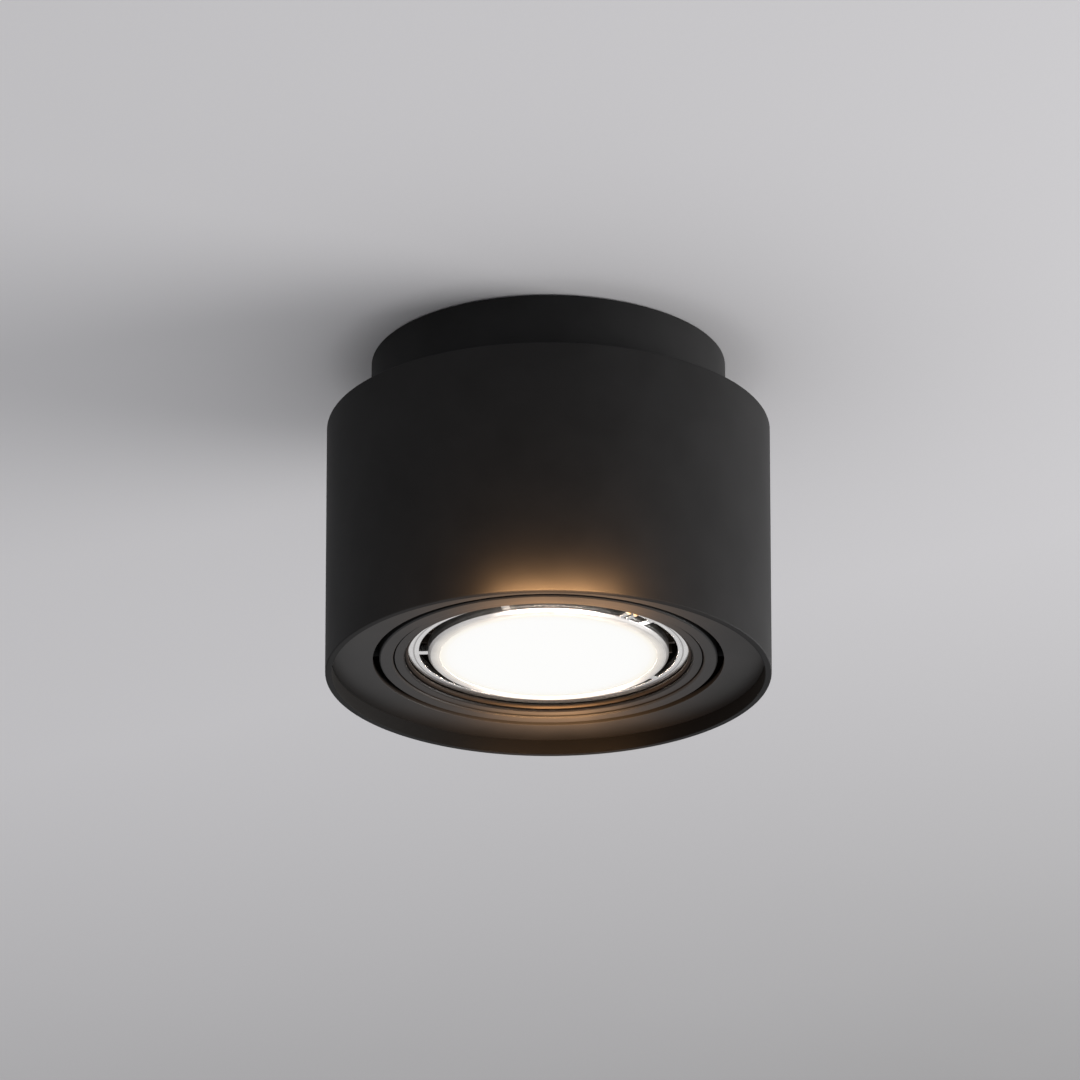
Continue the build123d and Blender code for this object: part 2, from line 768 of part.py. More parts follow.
# ---- Lamp -------------------------------------------------------------------------------------------
def lamp_front_rim():
    band = hoop(lamp_radius, band_bore_radius, rim_low_z, rim_high_z)
    hub = hoop(bezel_radius, hub_bore_radius, rim_low_z, rim_high_z)
    spoke_inner = (bezel_radius + hub_bore_radius) / 2
    spoke_outer = lamp_radius - rim_band / 2
    spoke = Pos((spoke_inner + spoke_outer) / 2, 0, rim_low_z) * Box(
        spoke_outer - spoke_inner, spoke_width, rim_thickness, align=(CENTRE, CENTRE, LOW)
    )
    front = band + hub
    for copy in around(spoke, spoke_count, spoke_start_angle):
        front += copy
    return front


def lamp_bezel():
    step_z = bezel_low_z + bezel_lip
    return turned(
        [
            (diffuser_radius + fit_gap, bezel_low_z),
            (bezel_radius - bezel_lip, bezel_low_z),
            (bezel_radius, bezel_low_z + bezel_lip),
            (bezel_radius, rim_low_z),
            (flange_radius + fit_gap, rim_low_z),
            (flange_radius + fit_gap, step_z),
            (diffuser_radius + fit_gap, step_z),
        ]
    )


def lamp_diffuser():
    face = disc(diffuser_radius, bezel_low_z + diffuser_sink, rim_low_z)
    flange = disc(flange_radius, bezel_low_z + bezel_lip, rim_low_z)
    return face + flange


def heatsink_fin():
    """One upright fin in the plane of X and Z."""
    core_root = heatsink_core_radius - fin_root
    chamber_root = chamber_radius - fin_root
    low = heatsink_low_z + fin_lift
    high = heatsink_high_z - fin_top_drop
    corners = [
        (core_root, heatsink_floor_z - fin_root),
        (chamber_root, heatsink_floor_z - fin_root),
        (chamber_root, low),
        (fin_reach, low),
        (fin_reach, low + fin_shoulder),
        (fin_top_radius, high),
        (core_root, high),
    ]
    outline = Polyline(*[(x, 0, z) for x, z in corners], close=True)
    return extrude(make_face(outline), fin_thickness / 2, both=True)


def lamp_heatsink():
    body = turned(
        [
            (0, chamber_roof_z),
            (chamber_radius - chamber_wall, chamber_roof_z),
            (chamber_radius - chamber_wall, heatsink_low_z),
            (chamber_radius, heatsink_low_z),
            (chamber_radius, heatsink_floor_z),
            (heatsink_core_radius, heatsink_floor_z),
            (heatsink_core_radius, heatsink_high_z),
            (0, heatsink_high_z),
        ]
    )
    return body + around(heatsink_fin(), fin_count, 0)


def led_board():
    return disc(led_board_radius, chamber_roof_z - led_board_thickness, chamber_roof_z)


def led_chips():
    high = chamber_roof_z - led_board_thickness
    chip = Pos(0, 0, high) * Box(
        led_chip_side, led_chip_side, led_chip_height, align=(CENTRE, CENTRE, HIGH)
    )
    return [chip] + around(Pos(led_circle_radius, 0, 0) * chip, led_chip_count, 0)


def lamp_base():
    neck_low_z = base_high_z - base_neck_height
    shell = turned(
        [
            (base_foot_radius - base_wall, heatsink_high_z),
            (base_foot_radius, heatsink_high_z),
            (base_foot_radius, heatsink_high_z + base_wall),
            (base_neck_radius, neck_low_z),
            (base_neck_radius, base_high_z),
            (0, base_high_z),
            (0, base_high_z - base_wall),
            (base_neck_radius - base_wall, base_high_z - base_wall),
            (base_neck_radius - base_wall, neck_low_z),
            (base_foot_radius - base_wall, heatsink_high_z + base_wall),
        ]
    )
    for side in (-1, 1):
        x = side * pin_spacing / 2
        shell -= disc(pin_neck_radius + thread_gap, base_high_z - pin_root, base_high_z, x=x)
    return shell


def driver_board():
    low = heatsink_high_z
    board_width = 2 * (base_neck_radius - base_wall - fit_gap)
    board_height = base_height - base_wall - driver_board_room
    board = Pos(0, 0, low) * Box(
        board_width, driver_board_thickness, board_height, align=(CENTRE, CENTRE, LOW)
    )
    centre_y = driver_board_thickness / 2 + driver_part_radius
    capacitor = disc(driver_part_radius, low, low + driver_part_height, -driver_part_spread, -centre_y)
    coil = Pos(driver_part_spread, centre_y, low) * Box(
        2 * driver_part_radius, 2 * driver_part_radius, driver_part_height, align=(CENTRE, CENTRE, LOW)
    )
    return [board, capacitor, coil]


def lamp_pins():
    low = base_high_z - pin_root
    head_low_z = pin_tip_z - pin_head_height
    pin = disc(pin_neck_radius, low, pin_tip_z) + disc(pin_head_radius, head_low_z, pin_tip_z)
    return [Pos(side * pin_spacing / 2, 0, 0) * pin for side in (-1, 1)]


def lampholder():
    block = Pos(0, 0, base_high_z) * Box(
        holder_length, holder_width, holder_height, align=(CENTRE, CENTRE, LOW)
    )
    block = fillet(block.edges().filter_by(Axis.Z), holder_corner_radius)
    block = fillet(block.edges().group_by(Axis.Z)[-1], holder_edge_round)
    for side in (-1, 1):
        block -= disc(pin_head_radius + holder_pin_gap, base_high_z, holder_lead_z, x=side * pin_spacing / 2)
        block -= disc(holder_hole_radius, base_high_z, holder_high_z, x=side * holder_hole_spacing / 2)
    side_y = holder_width / 2
    lead_bore = bar_along_y(
        sleeve_radius + fit_gap, side_y - holder_lead_depth, side_y + cut_past, x=0, z=holder_lead_z
    )
    return block - lead_bore


def lampholder_contacts():
    strip = disc(pin_head_radius, pin_tip_z, pin_tip_z + contact_thickness)
    spring = disc(contact_spring_radius, pin_tip_z + contact_thickness, holder_lead_z)
    return [Pos(side * pin_spacing / 2, 0, 0) * (strip + spring) for side in (-1, 1)]


# ---- Leads ------------------------------------------------------------------------------------------
def lamp_lead_cores():
    cores = []
    for side, x in zip((-1, 1), pole_positions()):
        end_x = side * core_half_spread
        sleeve_y = sleeve_start[1]
        route = [
            (x, lead_start_y, pole_z),
            (x, lead_start_y + core_straight, pole_z),
            (end_x, sleeve_y - core_in_sleeve, sleeve_start[2]),
            (end_x, sleeve_y, sleeve_start[2]),
        ]
        cores.append(lead("lamp_lead_cores", route, core_radius))
    return cores


nodes = {
    "mounting_plate": mounting_plate(),
    "cable_bush": cable_bush(),
    "terminal_block": terminal_block(),
    "terminal_inserts": terminal_inserts(),
    "terminal_screws": terminal_screws(),
    "terminal_block_screw": terminal_block_screw(),
    "earth_tag": earth_tag(),
    "earth_screw": earth_screw(),
    "earth_lead": lead("earth_lead", earth_lead_route, earth_lead_radius),
    "ceiling_rose": ceiling_rose(),
    "rose_side_screws": rose_side_screws(),
    "hollow_nipple": hollow_nipple(),
    "nipple_nuts": nipple_nuts(),
    "nipple_washers": nipple_washers(),
    "nipple_bushes": nipple_bushes(),
    "housing": housing(),
    "support_pillars": support_pillars(),
    "pillar_screws": pillar_screws(),
    "face_plate": face_plate(),
    "outer_pivot_screws": outer_pivot_screws(),
    "friction_washers": friction_washers(),
    "lamp_lead_cores": lamp_lead_cores(),
    "lamp_lead_fixed": lead("lamp_lead_fixed", lamp_lead_route, sleeve_radius),
    "lamp_lead_upper": lead("lamp_lead_upper", upper_loop_route, sleeve_radius),
    "outer_gimbal_ring": outer_gimbal_ring(),
    "inner_pivot_screws": inner_pivot_screws(),
    "inner_gimbal_ring": inner_gimbal_ring(),
    "retaining_spring": retaining_spring(),
    "lamp_front_rim": lamp_front_rim(),
    "lamp_bezel": lamp_bezel(),
    "lamp_diffuser": lamp_diffuser(),
    "lamp_heatsink": lamp_heatsink(),
    "led_board": led_board(),
    "led_chips": led_chips(),
    "lamp_base": lamp_base(),
    "driver_board": driver_board(),
    "lamp_pins": lamp_pins(),
    "lampholder": lampholder(),
    "lampholder_contacts": lampholder_contacts(),
    "lamp_lead_lower": lead("lamp_lead_lower", lower_loop_route, sleeve_radius),
}

os.makedirs("parts", exist_ok=True)
for name, piece in nodes.items():
    solids = piece if isinstance(piece, list) else [piece]
    export_step(Compound(children=[Part(solid.wrapped) for solid in solids]), f"parts/{name}.step")
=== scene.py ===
import math

import bmesh
import bpy
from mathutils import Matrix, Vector


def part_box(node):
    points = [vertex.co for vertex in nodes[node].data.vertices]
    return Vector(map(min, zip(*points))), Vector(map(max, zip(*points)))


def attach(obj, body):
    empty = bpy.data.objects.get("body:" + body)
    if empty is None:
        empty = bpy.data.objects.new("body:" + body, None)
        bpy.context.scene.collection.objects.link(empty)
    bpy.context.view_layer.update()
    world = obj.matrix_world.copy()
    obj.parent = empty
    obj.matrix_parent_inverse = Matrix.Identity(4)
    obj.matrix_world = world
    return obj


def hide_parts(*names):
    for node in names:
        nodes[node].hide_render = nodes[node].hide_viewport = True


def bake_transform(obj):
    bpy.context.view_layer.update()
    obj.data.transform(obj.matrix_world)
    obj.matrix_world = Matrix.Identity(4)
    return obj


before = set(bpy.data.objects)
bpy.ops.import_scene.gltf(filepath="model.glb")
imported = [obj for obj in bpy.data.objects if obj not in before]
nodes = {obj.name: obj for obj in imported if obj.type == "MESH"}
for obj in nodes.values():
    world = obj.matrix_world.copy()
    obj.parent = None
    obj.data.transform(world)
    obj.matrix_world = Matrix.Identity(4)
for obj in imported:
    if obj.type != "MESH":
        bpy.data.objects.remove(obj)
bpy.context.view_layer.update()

# A black ceiling spotlight, seen from below against the ceiling that it is mounted on. Metres.
# The ceiling is at z = 0, the lamp's axis is Z, and the camera stands on the side of -Y.

MM = 0.001

# ---- Camera -----------------------------------------------------------------------------------------
SENSOR_WIDTH = 36.0
LENS = 386.2
CAMERA_ELEVATION = math.radians(21.89)  # how steeply the camera looks up at the housing's lower edge
CAMERA_DISTANCE = 4.538  # from the middle of the housing's lower edge
CAMERA_PITCH = math.radians(22.556)
CAMERA_YAW = math.radians(0.045)

# ---- Ceiling ----------------------------------------------------------------------------------------
CEILING_REACH = 6.0
CEILING_GAP = 0.2 * MM  # keeps the ceiling clear of the mounting plate, behind it and round it
CEILING_SEGMENTS = 192
CEILING_COLOUR = (0.61, 0.605, 0.618)
# Painted shade: the ceiling's colour far behind the light.
CEILING_FAR_COLOUR = (0.36, 0.358, 0.36)
CEILING_MOTTLE = (0.56, 0.555, 0.565)
CEILING_FADE = (0.30, 1.05)  # where the painted shade on the ceiling starts and stops, behind the light
CEILING_FADE_LEAN = (0.60, 1.0, 0.0)  # the painted shade is stronger to the right

# ---- Lights -----------------------------------------------------------------------------------------
ROOM_FLOOR_COLOUR = (0.70, 0.70, 0.71)
ROOM_WALL_COLOUR = (0.42, 0.42, 0.43)
KEY_DISTANCE = 2.2
KEY_ELEVATION = math.radians(17.0)  # below the ceiling, so that the shadow on it is long
KEY_AZIMUTH = math.radians(2.0)  # from the right, a little towards the camera
KEY_AIM = (0, 0, -0.06)
KEY_WIDTH = 1.9
KEY_HEIGHT = 0.7
KEY_POWER = 54.0
KEY_COLOUR = (1.0, 0.985, 0.975)
GLOW_COLOUR = (1.0, 0.53, 0.22)
SILVER_GLOW_COLOUR = (1.0, 0.82, 0.68)
GLOW_SHIFT = 3.5 * MM  # the glow in the picture lies a little to the right
GLOW_DEPTH = 5 * MM
FAR_GLOW_Y = 54 * MM  # beyond the lamp, as seen in the picture
NEAR_GLOW_Y = -52 * MM  # on this side of it
LIP_GLOW_Y = 65 * MM
UP, SLANTED, LEVEL = math.pi, 0.75 * math.pi, 0.5 * math.pi  # a glow's turn about X, from facing down
SIDE_DISTANCE = 2.0
SIDE_TURN = math.radians(40.0)  # how far behind the light's right side it stands
SIDE_DROP = 0.15  # how far it stands below the ceiling, for each metre away
SIDE_SIZE = 0.8
SIDE_POWER = 18.0
SHINE_DISTANCE = 2.0
SHINE_SIZE = 1.0
SHINE_POWER = 0.7

# ---- Where finishes, painted shade and painted light change, as pairs of where the change starts and ends ---
housing_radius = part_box("housing")[1].x
lamp_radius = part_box("lamp_front_rim")[1].x
glass_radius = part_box("lamp_bezel")[1].x - 4.7 * MM  # of what shows of the diffuser in its bezel
face_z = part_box("face_plate")[0].z
MOUTH_WALL = (housing_radius - 2.4 * MM, housing_radius - 2.1 * MM)
MOUTH_TOP = (face_z - 0.2 * MM, face_z + 0.2 * MM)
FACE_BACK = (face_z + 1.8 * MM, face_z + 2.2 * MM)
RING_WALL = (lamp_radius + 1.3 * MM, lamp_radius + 1.7 * MM)
RIM_SEAT = (lamp_radius - 0.7 * MM, lamp_radius - 0.3 * MM)
RIM_LINE_INSIDE = (lamp_radius - 3.2 * MM, lamp_radius - 2.8 * MM)
RIM_LINE_OUTSIDE = (lamp_radius - 2.6 * MM, lamp_radius - 2.2 * MM)
WIRE_HIGHLIGHT = (lamp_radius - 3.0 * MM, lamp_radius - 1.0 * MM)
GLASS_EDGE = (glass_radius - 4.0 * MM, glass_radius)
BEZEL_LIGHT = (glass_radius + 0.1 * MM, glass_radius + 2.7 * MM)


# ---- Shader helpers ---------------------------------------------------------------------------------
def add(tree, kind, inputs=None, **settings):
    """A new shader node, with its settings, and its inputs linked or set."""
    node = tree.nodes.new(kind)
    for key, value in settings.items():
        setattr(node, key, value)
    for key, value in (inputs or {}).items():
        if isinstance(value, bpy.types.NodeSocket):
            tree.links.new(value, node.inputs[key])
        else:
            node.inputs[key].default_value = value
    return node


def opaque(colour):
    return (*colour, 1.0)


def shader_of(material):
    return material.node_tree.nodes["Principled BSDF"]


def principled(name, **sockets):
    """A material with one Principled shader, and the same value all over for each socket given."""
    material = bpy.data.materials.new(name)
    material.use_nodes = True
    shader = shader_of(material)
    for key, value in sockets.items():
        shader.inputs[key.replace("_", " ")].default_value = value
    return material, material.node_tree, shader


def place(tree):
    """Where the point is on its piece, in metres."""
    return add(tree, "ShaderNodeTexCoord").outputs["Object"]


def place_in_world(tree):
    """Which way the point of the world is."""
    return add(tree, "ShaderNodeTexCoord").outputs["Generated"]


def upward(tree, vector):
    """How far up a point is, or how far up a direction leans."""
    return add(tree, "ShaderNodeSeparateXYZ", {"Vector": vector}).outputs["Z"]


def radius_from_axis(tree, point):
    """How far the point is from the lamp's axis."""
    flat = add(tree, "ShaderNodeVectorMath", {0: point, 1: (1.0, 1.0, 0.0)}, operation="MULTIPLY")
    length = add(tree, "ShaderNodeVectorMath", {0: flat.outputs["Vector"]}, operation="LENGTH")
    return length.outputs["Value"]


def noise(tree, point, size, detail=3.0, roughness=0.5):
    """Soft noise, whose largest lumps are about that size."""
    sockets = {"Vector": point, "Scale": 1.0 / size, "Detail": detail, "Roughness": roughness}
    return add(tree, "ShaderNodeTexNoise", sockets).outputs["Fac"]


def cells(tree, point, size):
    """Flat cells with one random value each."""
    node = add(tree, "ShaderNodeTexVoronoi", {"Vector": point, "Scale": 1.0 / size})
    return add(tree, "ShaderNodeSeparateColor", {"Color": node.outputs["Color"]}).outputs["Red"]


def turning_lines(tree, point, size):
    """Fine rings about Z, as a lathe leaves them."""
    sockets = {"W": radius_from_axis(tree, point), "Scale": 1.0 / size, "Detail": 2.0}
    return add(tree, "ShaderNodeTexNoise", sockets, noise_dimensions="1D").outputs["Fac"]


def span(tree, factor, low, high, start=0.3, end=0.7):
    """A factor turned into a value between low and high."""
    sockets = {"Value": factor, "From Min": start, "From Max": end, "To Min": low, "To Max": high}
    return add(tree, "ShaderNodeMapRange", sockets).outputs["Result"]


def both(tree, first, second):
    """1 where two factors are both 1."""
    return add(tree, "ShaderNodeMath", {0: first, 1: second}, operation="MULTIPLY").outputs["Value"]


def between(tree, factor, first, second, start=0.3, end=0.7):
    """A colour between two others."""
    ramp = add(tree, "ShaderNodeValToRGB", {"Fac": factor})
    ramp.color_ramp.elements[0].position = start
    ramp.color_ramp.elements[0].color = opaque(first)
    ramp.color_ramp.elements[1].position = end
    ramp.color_ramp.elements[1].color = opaque(second)
    return ramp.outputs["Color"]


MIX_FACTOR, MIX_FIRST, MIX_SECOND, MIX_RESULT = 0, 6, 7, 2  # a mix node knows its sockets by number


def mixed(tree, factor, first, second):
    """Two colours mixed by a factor, each a socket or a plain colour."""
    sockets = {MIX_FACTOR: factor}
    for key, colour in ((MIX_FIRST, first), (MIX_SECOND, second)):
        sockets[key] = opaque(colour) if isinstance(colour, tuple) else colour
    return add(tree, "ShaderNodeMix", sockets, data_type="RGBA").outputs[MIX_RESULT]


def relief(tree, height, depth, below=None):
    """Bumps that deep, in metres, on top of any other bumps."""
    sockets = {"Height": height, "Distance": depth}
    if below:
        sockets["Normal"] = below
    return add(tree, "ShaderNodeBump", sockets).outputs["Normal"]


def soft_edges(tree, radius):
    """Normals that round the edges off, as paint and tumbling do."""
    return add(tree, "ShaderNodeBevel", {"Radius": radius}, samples=6).outputs["Normal"]


def edge_mask(tree, radius, start, end):
    """1 on the edges of a piece and 0 elsewhere."""
    rounded = soft_edges(tree, radius)
    flat = add(tree, "ShaderNodeNewGeometry").outputs["Normal"]
    match = add(tree, "ShaderNodeVectorMath", {0: rounded, 1: flat}, operation="DOT_PRODUCT")
    return span(tree, match.outputs["Value"], 1.0, 0.0, start, end)


def wire_up(tree, shader, colour=None, roughness=None, normal=None):
    """Links what was made to the shader's own sockets."""
    for key, value in (("Base Color", colour), ("Roughness", roughness), ("Normal", normal)):
        if value:
            tree.links.new(value, shader.inputs[key])


def repaint(material, where, colour):
    """Puts another colour on a finished material, where a factor is 1."""
    socket = shader_of(material).inputs["Base Color"]
    tree = material.node_tree
    tree.links.new(mixed(tree, where, socket.links[0].from_socket, colour), socket)


# ---- Finishes ---------------------------------------------------------------------------------------
BLACK, LIGHT_BLACK = (0.0102, 0.0101, 0.0103), (0.0132, 0.0131, 0.0134)
INNER_BLACK, LIGHT_INNER_BLACK = (0.0120, 0.0118, 0.0118), (0.0165, 0.0162, 0.0162)
PAINTED_EDGE = 0.35 * MM
EDGE_WEAR = 1.15  # how much lighter the paint is on its edges


def powder_coat(name, colour, light_colour, rough, level, grain_depth):
    """Baked paint: a fine even grain, slow changes of sheen, and edges rubbed a little lighter."""
    material, tree, shader = principled(name, Specular_IOR_Level=level)
    point = place(tree)
    slow = noise(tree, point, 22 * MM, 2.0)
    grain = noise(tree, point, 0.4 * MM, 2.0, 0.6)
    paint = between(tree, slow, colour, light_colour)
    rubbed = edge_mask(tree, PAINTED_EDGE, 0.80, 0.97)
    worn_paint = mixed(tree, rubbed, paint, tuple(EDGE_WEAR * part for part in light_colour))
    sheen = span(tree, noise(tree, point, 30 * MM, 2.0), rough - 0.015, rough + 0.015)
    normal = relief(tree, grain, grain_depth, soft_edges(tree, PAINTED_EDGE))
    wire_up(tree, shader, worn_paint, sheen, normal)
    return material


def housing_paint():
    """The paint of the rose and the housing, with painted shade on the wall inside the housing's mouth.
    """
    material = powder_coat("housing_paint", BLACK, LIGHT_BLACK, 0.66, 0.13, 0.012 * MM)
    tree = material.node_tree
    point = place(tree)
    below = span(tree, upward(tree, point), 1.0, 0.0, *MOUTH_TOP)
    within = span(tree, radius_from_axis(tree, point), 1.0, 0.0, *MOUTH_WALL)
    # Painted shade: the wall inside the housing's mouth is darkened to near black.
    repaint(material, both(tree, below, within), (0.005, 0.0048, 0.0046))
    return material


def face_plate_paint():
    """The paint of the face plate, with painted shade above it, where its ears are."""
    material = powder_coat("face_plate_paint", INNER_BLACK, LIGHT_INNER_BLACK, 0.46, 0.32, 0.012 * MM)
    tree = material.node_tree
    above = span(tree, upward(tree, place(tree)), 0.0, 1.0, *FACE_BACK)
    # Painted shade: the paint above the face plate's back, on its ears, is darkened to near black.
    repaint(material, above, (0.002, 0.002, 0.002))
    return material


def ring_paint():
    """The paint of the rings, with painted shade on the inner ring's wall, beside the lamp."""
    material = powder_coat("ring_paint", INNER_BLACK, LIGHT_INNER_BLACK, 0.42, 0.32, 0.010 * MM)
    tree = material.node_tree
    within = span(tree, radius_from_axis(tree, place(tree)), 1.0, 0.0, *RING_WALL)
    # Painted shade: the inner ring's wall beside the lamp is darkened to near black.
    repaint(material, within, (0.0035, 0.0032, 0.003))
    return material


def turned_metal(name, colour, rough, line_size, line_depth):
    """Fine rings from the lathe, a sheen that changes with them, and faint smudges."""
    material, tree, shader = principled(name, Metallic=1.0)
    point = place(tree)
    lines = turning_lines(tree, point, line_size)
    smudged = tuple(0.86 * part for part in colour)
    stained = between(tree, noise(tree, point, 7 * MM, 4.0), smudged, colour)
    sheen = span(tree, lines, rough * 0.75, rough * 1.35)
    wire_up(tree, shader, stained, sheen, relief(tree, lines, line_depth, soft_edges(tree, 0.25 * MM)))
    return material


def rim_silver():
    """Turned silver, with painted shade as a grey line round it and on the outer edge that sits in the
    ring.
    """
    material = turned_metal("rim_silver", (0.86, 0.85, 0.835), 0.24, 0.5 * MM, 0.002 * MM)
    tree = material.node_tree
    radius = radius_from_axis(tree, place(tree))
    rising = span(tree, radius, 0.0, 1.0, *RIM_LINE_INSIDE)
    falling = span(tree, radius, 1.0, 0.0, *RIM_LINE_OUTSIDE)
    # Painted shade: a grey line round the rim.
    repaint(material, both(tree, rising, falling), (0.42, 0.41, 0.40))
    # Painted shade: the outer edge that sits in the ring is darkened to near black.
    repaint(material, span(tree, radius, 0.0, 1.0, *RIM_SEAT), (0.03, 0.028, 0.027))
    return material


def lit_bezel():
    """Turned aluminium, with the diffuser's light painted on its inner edge as a glow."""
    material = turned_metal("bezel_aluminium", (0.84, 0.82, 0.80), 0.36, 0.3 * MM, 0.004 * MM)
    tree = material.node_tree
    shader = shader_of(material)
    radius = radius_from_axis(tree, place(tree))
    # Painted light: a glow on the bezel's inner edge, beside the diffuser.
    light = between(tree, radius, (0.36, 0.33, 0.27), (0.0, 0.0, 0.0), *BEZEL_LIGHT)
    tree.links.new(light, shader.inputs["Emission Color"])
    shader.inputs["Emission Strength"].default_value = 1.0
    return material


def blued_wire_with_painted_light():
    """Spring steel, blued dark, which also stands in for the shade of the gap it lies in, with painted
    highlights at the bent ends.
    """
    material, tree, shader = principled("blued_wire_with_painted_light", Specular_IOR_Level=0.06)
    point = place(tree)
    pits = noise(tree, point, 0.3 * MM, 3.0)
    # Painted shade: the wire is kept dark and dull for the shaded gap round the lamp.
    blued_and_shade = between(tree, noise(tree, point, 6 * MM), (0.010, 0.009, 0.008), (0.014, 0.012, 0.011))
    # Painted highlight: the bent ends are made bright metal.
    painted_highlight = span(tree, radius_from_axis(tree, point), 1.0, 0.0, *WIRE_HIGHLIGHT)
    tree.links.new(painted_highlight, shader.inputs["Metallic"])
    colour = mixed(tree, painted_highlight, blued_and_shade, (0.8, 0.79, 0.77))
    wire_up(tree, shader, colour, span(tree, pits, 0.38, 0.5), relief(tree, pits, 0.004 * MM))
    return material


def plated_metal(name, colour, dull, rough, patch_size, pit_depth):
    """Zinc or nickel plate on steel, or brass: soft patches and fine pits."""
    material, tree, shader = principled(name, Metallic=1.0)
    point = place(tree)
    patches = noise(tree, point, patch_size, 4.0)
    pits = noise(tree, point, patch_size / 12, 3.0)
    sheen = span(tree, pits, rough - 0.08, rough + 0.1)
    normal = relief(tree, pits, pit_depth, soft_edges(tree, 0.15 * MM))
    wire_up(tree, shader, between(tree, patches, dull, colour), sheen, normal)
    return material


def galvanised():
    """Hot dipped zinc: flat spangles of different greys, a little white bloom, and plain cut edges."""
    material, tree, shader = principled("spangled_zinc", Metallic=1.0)
    point = place(tree)
    spangle = cells(tree, point, 5 * MM)
    bloom = noise(tree, point, 14 * MM, 5.0)
    zinc = between(tree, spangle, (0.36, 0.38, 0.4), (0.62, 0.63, 0.65), 0.0, 1.0)
    sheet = mixed(tree, span(tree, bloom, 0.0, 0.4, 0.52, 0.75), zinc, (0.68, 0.69, 0.7))
    facing = add(tree, "ShaderNodeNewGeometry").outputs["True Normal"]
    level = add(tree, "ShaderNodeMath", {0: upward(tree, facing)}, operation="ABSOLUTE")
    cut_edge = span(tree, level.outputs["Value"], 1.0, 0.0, 0.2, 0.6)
    colour = mixed(tree, cut_edge, sheet, (0.34, 0.34, 0.35))
    sheen = span(tree, spangle, 0.26, 0.48, 0.0, 1.0)
    normal = relief(tree, noise(tree, point, 0.8 * MM, 3.0), 0.01 * MM, soft_edges(tree, 0.2 * MM))
    wire_up(tree, shader, colour, sheen, normal)
    return material


def cast_aluminium():
    """Die cast and blasted metal with a dark coat, tinted brown as painted warm light from the lamp: a
    fine sandy skin.
    """
    material, tree, shader = principled("heatsink_coat", Metallic=0.2)
    point = place(tree)
    sand = noise(tree, point, 0.5 * MM, 3.0, 0.7)
    # Painted light: the coat is tinted brown for the lamp's warm light in the vents.
    coat = between(tree, noise(tree, point, 12 * MM, 3.0), (0.038, 0.028, 0.019), (0.050, 0.038, 0.027))
    wire_up(tree, shader, coat, span(tree, sand, 0.56, 0.74), relief(tree, sand, 0.03 * MM))
    return material


def moulded(name, colour, light_colour, rough, grain_size=0.6 * MM, level=0.5):
    """Moulded plastic or rubber: a spark eroded grain and slightly uneven colour."""
    material, tree, shader = principled(name, Specular_IOR_Level=level)
    point = place(tree)
    grain = noise(tree, point, grain_size, 3.0, 0.6)
    slow = noise(tree, point, 16 * MM, 3.0)
    sheen = span(tree, grain, rough - 0.06, rough + 0.06)
    normal = relief(tree, grain, 0.012 * MM, soft_edges(tree, 0.25 * MM))
    wire_up(tree, shader, between(tree, slow, colour, light_colour), sheen, normal)
    return material


def glazed_ceramic():
    """Steatite: off-white, with faint specks under a thin glaze."""
    material, tree, shader = principled("steatite", Coat_Weight=0.35, Coat_Roughness=0.18)
    point = place(tree)
    specks = noise(tree, point, 0.7 * MM, 2.0)
    slow = noise(tree, point, 9 * MM, 3.0)
    body = between(tree, slow, (0.74, 0.71, 0.64), (0.82, 0.79, 0.73))
    colour = mixed(tree, span(tree, specks, 0.0, 0.35, 0.66, 0.74), body, (0.42, 0.37, 0.3))
    normal = relief(tree, specks, 0.01 * MM, soft_edges(tree, 0.4 * MM))
    wire_up(tree, shader, colour, span(tree, slow, 0.38, 0.52), normal)
    return material


def printed_board(name, mask, track, rough):
    """A circuit board: solder mask over faint square tracks."""
    material, tree, shader = principled(name, Coat_Weight=0.2, Coat_Roughness=0.25)
    point = place(tree)
    squares = add(tree, "ShaderNodeTexBrick", {"Vector": point, "Scale": 1.0 / (6 * MM)})
    lines = squares.outputs["Fac"]
    weave = noise(tree, point, 0.4 * MM, 2.0)
    sheen = span(tree, weave, rough - 0.05, rough + 0.08)
    normal = relief(tree, weave, 0.006 * MM, relief(tree, lines, 0.02 * MM))
    wire_up(tree, shader, mixed(tree, lines, mask, track), sheen, normal)
    return material


def phosphor():
    """The yellow dome of an LED chip, lit."""
    light = opaque((1.0, 0.88, 0.62))
    material, tree, shader = principled("phosphor", Emission_Color=light, Emission_Strength=3.0)
    point = place(tree)
    colour = between(tree, noise(tree, point, 1.5 * MM, 2.0), (0.86, 0.62, 0.08), (0.95, 0.78, 0.2))
    wire_up(tree, shader, colour, span(tree, noise(tree, point, 0.3 * MM), 0.3, 0.5))
    return material


def frosted_diffuser():
    """A lit opal disc: even in the middle, warmer towards its edge, with a finely frosted skin."""
    material, tree, shader = principled("lit_opal", Emission_Strength=1.0, Specular_IOR_Level=0.2)
    point = place(tree)
    radius = radius_from_axis(tree, point)
    light = between(tree, radius, (0.735, 0.735, 0.725), (0.715, 0.675, 0.59), *GLASS_EDGE)
    tree.links.new(light, shader.inputs["Emission Color"])
    frost = noise(tree, point, 0.35 * MM, 3.0, 0.7)
    glass = between(tree, frost, (0.24, 0.24, 0.235), (0.28, 0.28, 0.275))
    wire_up(tree, shader, glass, span(tree, frost, 0.4, 0.55), relief(tree, frost, 0.01 * MM))
    return material


